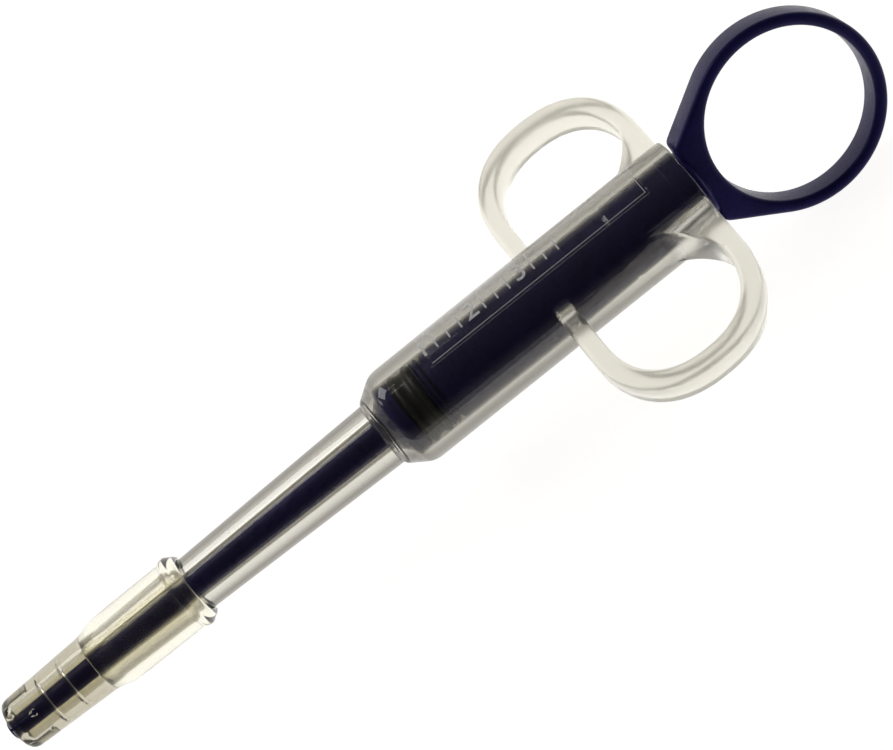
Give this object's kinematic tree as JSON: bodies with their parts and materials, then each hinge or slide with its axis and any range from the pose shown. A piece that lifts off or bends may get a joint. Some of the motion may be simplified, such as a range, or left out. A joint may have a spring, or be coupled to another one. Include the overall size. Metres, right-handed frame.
{
  "type": "oral syringe",
  "caption": "Clear oral syringe with finger loops, a navy plunger ending in a thumb ring, and a soft slit tip that holds a tablet for a push rod to press out.",
  "frame": {"origin": "centre of the push rod's flat front face, on the syringe's axis, with the plunger fully home", "axes": "+X along the barrel to the thumb ring, +Z square to the flat finger loops"},
  "size_m": [0.16, 0.0548, 0.027],
  "materials": {
    "clear_plastic": "clear, polished, hard",
    "label_film": "clear film with white print",
    "navy_plastic": "semi-gloss navy",
    "black_rubber": "black rubber",
    "soft_vinyl": "soft, clear, faintly yellow"
  },
  "bodies": {
    "barrel": {"barrel": "clear_plastic", "label_film": "label_film"},
    "seal": {"piston_seal": "black_rubber"},
    "plunger": {"plunger_body": "navy_plastic", "push_rod": "navy_plastic", "thumb_ring": "navy_plastic"},
    "tip": {"soft_tip": "soft_vinyl"}
  },
  "joints": [
    {"name": "plunger_slide", "type": "slide", "parent": "barrel", "child": "seal", "axis": [1, 0, 0], "range_m": [0, 0.033]},
    {"name": "plunger_turn", "type": "hinge", "parent": "seal", "child": "plunger", "pos_m": [0.1286, 0, 0], "axis": [1, 0, 0], "continuous": true},
    {"name": "tip_pull_off", "type": "slide", "parent": "barrel", "child": "tip", "axis": [-1, 0, 0], "range_m": [0, 0.037]}
  ]
}
